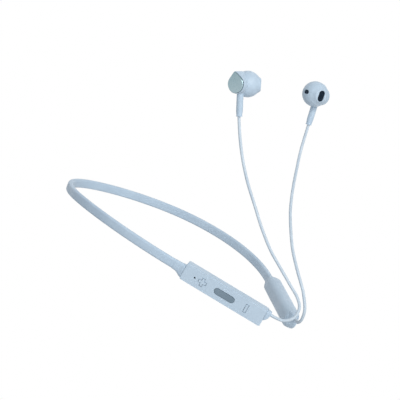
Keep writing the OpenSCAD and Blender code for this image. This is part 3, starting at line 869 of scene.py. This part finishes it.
# Earbuds. Both sides are made from the same shapes, mirrored by their place.
HEAD = Vector((5.75, -1.35, 0))
HEAD_R, HEAD_WALL, HEAD_STEPS = 7.8, 0.9, 96
NOSE = Vector((0.48, -0.87, -0.03))
NOSE_H, NOSE_SLOPE, NOSE_REACH = 7.9, radians(37), 7.6
VENT = Vector((0.97, 0.25, -0.03))
HORN = Vector((1, 7.7))
HORN_BLUNT, HORN_PASSES = 1.2, 12
LOBE_RIM, LOBE_END, LOBE_WALL = 0.4, 2.5, 0.5
SPLIT_X = 4.5
STEM_BORE, BORE_TOP, STEM_OVERLAP = 1.15, -2, 2
VOXEL = 0.2
STEM_STEPS = 48
FAR = 30  # past every surface of an earbud


def facing_out(direction):
    """Place at the head's centre whose Z looks out along a direction, with Y up"""
    out = direction.normalized()
    level = Vector((0, 0, 1)).cross(out).normalized()
    return axes_matrix(level, out.cross(level), out, HEAD, 1)


def head_form(inset):
    """The ball with its short conical nose"""
    ball = bmesh.new()
    bmesh.ops.create_uvsphere(ball, u_segments=HEAD_STEPS, v_segments=HEAD_STEPS // 2,
                              radius=HEAD_R - inset)
    reach, end = NOSE_REACH - inset, NOSE_H - inset
    foot = reach * sin(NOSE_SLOPE)
    nose = bmesh.new()
    bmesh.ops.create_cone(nose, cap_ends=True, segments=HEAD_STEPS, depth=end - foot,
                          radius1=reach * cos(NOSE_SLOPE),
                          radius2=(reach - end * sin(NOSE_SLOPE)) / cos(NOSE_SLOPE))
    move(nose, 0, 0, (foot + end) / 2)
    return join(move(ball, *HEAD), put(nose, facing_out(NOSE)))


def drop_face(grow):
    """A flat disc drawn out to a blunt horn, on its own X and Y"""
    bm = bmesh.new()
    radius = CAP_R + grow
    bmesh.ops.create_circle(bm, cap_ends=True, radius=radius, segments=HEAD_STEPS)
    tip = HORN + HORN.normalized() * grow
    opening = acos(radius / tip.length)
    for v in bm.verts:
        off = tip.angle_signed(v.co.xy)
        if abs(off) < opening:
            touch = tip.normalized() * radius
            touch.rotate(Matrix.Rotation(-opening if off > 0 else opening, 2))
            v.co.xy = tip.lerp(touch, abs(off) / opening)
    near_tip = [v for v in bm.verts if (v.co.xy - tip).length < HORN_BLUNT]
    for _ in range(HORN_PASSES):
        bmesh.ops.smooth_vert(bm, verts=near_tip, factor=0.5, use_axis_x=True, use_axis_y=True)
    return bm


def bud_solid():
    """Head, lobe and stem run together, with soft joins"""
    lobe = loft(drop_face(LOBE_RIM), [section(CAP_X + CAP_T), section(LOBE_END)])
    bm = join(head_form(0), lobe)
    bm = join(bm, pin(STEM_R, SLEEVE_TOP - STEM_OVERLAP, 0, STEM_STEPS))
    return with_modifiers(bm, ("REMESH", {"mode": "VOXEL", "voxel_size": VOXEL}),
                          ("SMOOTH", {"factor": 0.5, "iterations": 10}))


# Openings in the head: direction, slot, and how far their mouth is from the head's centre
Opening = namedtuple("Opening", "out length width upright mouth")
OPENINGS = {
    "outlet": Opening(NOSE, 6.8, 3.9, True, NOSE_H),
    "vent": Opening(VENT, 3.8, 2.5, False, 7.75),
}
SLOT_FOOT, FLARE_DEPTH = 5, 0.25
FLARE = ((0.35, 0.3), (1.5, 0))


def opening_place(opening):
    """Place of an opening whose X runs along its slot"""
    place = facing_out(opening.out)
    return place @ Matrix.Rotation(pi / 2, 4, "Z") if opening.upright else place


def flared_slot(opening):
    """A cutter for a slot whose mouth opens out, in steps of rise and growth"""
    length, width = opening.length, opening.width
    bm = slot_block(length, width, SLOT_FOOT, opening.mouth - FLARE_DEPTH)
    top = max(bm.faces, key=lambda f: f.calc_center_median().z)
    for rise, grow in FLARE:
        top = draw_out(bm, top)
        bmesh.ops.scale(bm, vec=(1 + grow / length, 1 + grow / width, 1), verts=top.verts)
        bmesh.ops.translate(bm, vec=(0, 0, rise), verts=top.verts)
    bmesh.ops.recalc_face_normals(bm, faces=bm.faces)
    return put(bm, opening_place(opening))


def front_shell(solid):
    """The hollow ear side of the head, with its two openings"""
    rear_half = block((-FAR, -FAR, -FAR), (SPLIT_X, FAR, FAR))
    return cut(solid, rear_half, head_form(HEAD_WALL), *map(flared_slot, OPENINGS.values()))


def rear_shell(solid):
    """The hollow lobe behind the cap, with the stem and its bore"""
    front_half = block((SPLIT_X, -FAR, -FAR), (FAR, FAR, FAR))
    below = block((-FAR, -FAR, -FAR), (FAR, FAR, SLEEVE_TOP))
    lobe_bore = put(pin(CAP_R - LOBE_WALL, CAP_X, LOBE_END, steps=64), ALONG)
    return cut(solid, front_half, below, head_form(HEAD_WALL), lobe_bore,
               pin(STEM_BORE, -STEM_L, BORE_TOP))


# Grilles: a woven wire mesh over a dark backing, a little behind the mouth
WEAVE_PITCH, WIRE_D = 0.4, 0.14
GRILLE_DEPTH, GRILLE_PLAY = 0.35, 0.1
BACKING_LOW, BACKING_HIGH = 0.4, 0.15


def grille_block(opening, low, high):
    """A block that fits in the opening's slot"""
    return slot_block(opening.length - GRILLE_PLAY, opening.width - GRILLE_PLAY, low, high)


def grille_weave(opening):
    """Woven wire, trimmed to its slot"""
    length, width, level = opening.length, opening.width, opening.mouth - GRILLE_DEPTH
    bm = bmesh.new()
    bmesh.ops.create_grid(bm, x_segments=round(length / WEAVE_PITCH),
                          y_segments=round(width / WEAVE_PITCH), size=0.5)
    bmesh.ops.scale(bm, vec=(length, width, 1), verts=bm.verts)
    move(bm, 0, 0, level)
    bm = with_modifiers(bm, ("WIREFRAME", {"thickness": WIRE_D, "use_even_offset": False}))
    bm = boolean(bm, grille_block(opening, level - THROUGH, level + THROUGH), "INTERSECT")
    return put(bm, opening_place(opening))


def grille_backing(opening):
    """The dark sheet behind the mesh"""
    level = opening.mouth - GRILLE_DEPTH
    bm = grille_block(opening, level - BACKING_LOW, level - BACKING_HIGH)
    return put(bm, opening_place(opening))


CAP_EDGE, CAP_LIP, CAP_DISH = 0.7, 0.12, 0.06
# Radius and height of the spigot that holds the cap in its lobe
SPIGOT_IN, SPIGOT_OUT, SPIGOT_L, SPIGOT_ROOT = CAP_R - 1.45, CAP_R - 0.55, 0.85, 0.05
# Radius of the stem's sleeve, and height above the stem's end
SLEEVE = [(STEM_BORE, SLEEVE_L), (STEM_R - 0.08, SLEEVE_L), (STEM_R, SLEEVE_L - 0.1),
          (STEM_R - 0.1, SLEEVE_L - 1.6), (1.68, 0.75), (1.68, 0.6), (1.84, 0.5), (1.84, 0.15),
          (1.7, 0), (STEM_BORE, 0), (STEM_BORE, SLEEVE_L)]


def cap():
    """The dished metal cap, with the spigot behind it"""
    bm = loft(drop_face(0), [section(CAP_X), section(CAP_X + CAP_T)])
    round_edges(bm, CAP_EDGE, segments=6, at=(X, CAP_X))
    bm.normal_update()
    face = min(bm.faces, key=lambda f: f.calc_center_median().x)
    bmesh.ops.inset_region(bm, faces=[face], thickness=CAP_LIP, depth=-CAP_DISH,
                           use_even_offset=True)
    spigot = turned([(SPIGOT_IN, 0), (SPIGOT_OUT, 0), (SPIGOT_OUT, SPIGOT_L),
                     (SPIGOT_IN, SPIGOT_L), (SPIGOT_IN, 0)], steps=64)
    return join(bm, put(spigot, section(CAP_X + CAP_T - SPIGOT_ROOT)))


Shape = namedtuple("Shape", "mesh slot node crease flat look", defaults=(40, False, None))


def bud_shapes():
    """The pieces of an earbud in its own frame, by name"""
    solid = bud_solid()
    shapes = {
        "ear_shell": Shape(front_shell(solid.copy()), "shell_plastic", "front_shell"),
        "stem_shell": Shape(rear_shell(solid), "shell_plastic", "rear_shell", 50),
        "cap_face": Shape(cap(), "cap_metal", "back_cap", 50, True, "{side}_cap"),
        "stem_tip": Shape(move(turned(SLEEVE), 0, 0, -STEM_L), "silicone", "stem_sleeve"),
    }
    for name, opening in OPENINGS.items():
        shapes[f"{name}_weave"] = Shape(grille_weave(opening), "grille_mesh", f"{name}_grille")
        shapes[f"{name}_backing"] = Shape(grille_backing(opening), "grille_mesh", None, flat=True,
                                          look="grille_backing")
    return shapes


def make_buds():
    """Both earbuds, from copies of the same shapes"""
    shapes = bud_shapes()
    for side, place in BUDS.items():
        for name, shape in shapes.items():
            nodes = [f"{side}_{shape.node}"] if shape.node else []
            look = shape.look and shape.look.format(side=side)
            piece(f"{side}_{name}", shape.mesh.copy(), f"{side}_earbud", shape.slot, nodes, place,
                  look, shape.crease, shape.flat)
    for shape in shapes.values():
        shape.mesh.free()


make_buds()

# Floor, light and background: the floor's level and size in metres, then each lamp's place,
# diameter and power
FLOOR_Z, FLOOR_SIZE, FLOOR_GLOW = -0.30, 6, 0.55
LAMPS = {"key": ((-0.58, -1.22, 0.2), 0.7, 8.4), "top": ((0.4, -0.2, 1.2), 0.9, 1.2)}
WHITE, FLOOR_GREY, SKY = (1, 1, 1, 1), (0.8, 0.8, 0.8, 1), (0.42, 0.43, 0.445, 1)


def seen_rays(tree):
    """1 for rays that show the background: straight to the camera, or by a reflection or glass"""
    path = add(tree, "ShaderNodeLightPath").outputs
    seen = maths(tree, "MAXIMUM", path["Is Camera Ray"], path["Is Glossy Ray"])
    return maths(tree, "MAXIMUM", seen, path["Is Transmission Ray"])


def make_floor():
    """A wide white floor, which also glows where it is seen"""
    bm = bmesh.new()
    bmesh.ops.create_grid(bm, x_segments=1, y_segments=1, size=FLOOR_SIZE)
    floor = link("floor", new_mesh("floor", move(bm, 0, 0, FLOOR_Z)))
    matt = {"Roughness": 0.9, "Base Color": FLOOR_GREY, "Emission Color": WHITE}
    look, tree, shader = new_look("floor", matt)
    glow = spread(tree, seen_rays(tree), 0, FLOOR_GLOW)
    tree.links.new(glow, shader.inputs["Emission Strength"])
    floor.data.materials.append(look)


def set_lamp(name, place, size, energy):
    data = bpy.data.lights.new(name, "AREA")
    data.shape = "DISK"
    data.size = size
    data.energy = energy
    stand(link(name, data), place)


def set_light():
    """A soft sky that is seen as white, and two lamps"""
    world = bpy.data.worlds.new("world")
    scene.world = world
    world.use_nodes = True
    tree = world.node_tree
    sky = blend(tree, seen_rays(tree), SKY, WHITE)
    tree.links.new(sky, tree.nodes["Background"].inputs["Color"])
    for name, values in LAMPS.items():
        set_lamp(name, *values)


make_floor()
set_light()
scene.view_settings.view_transform = "Standard"
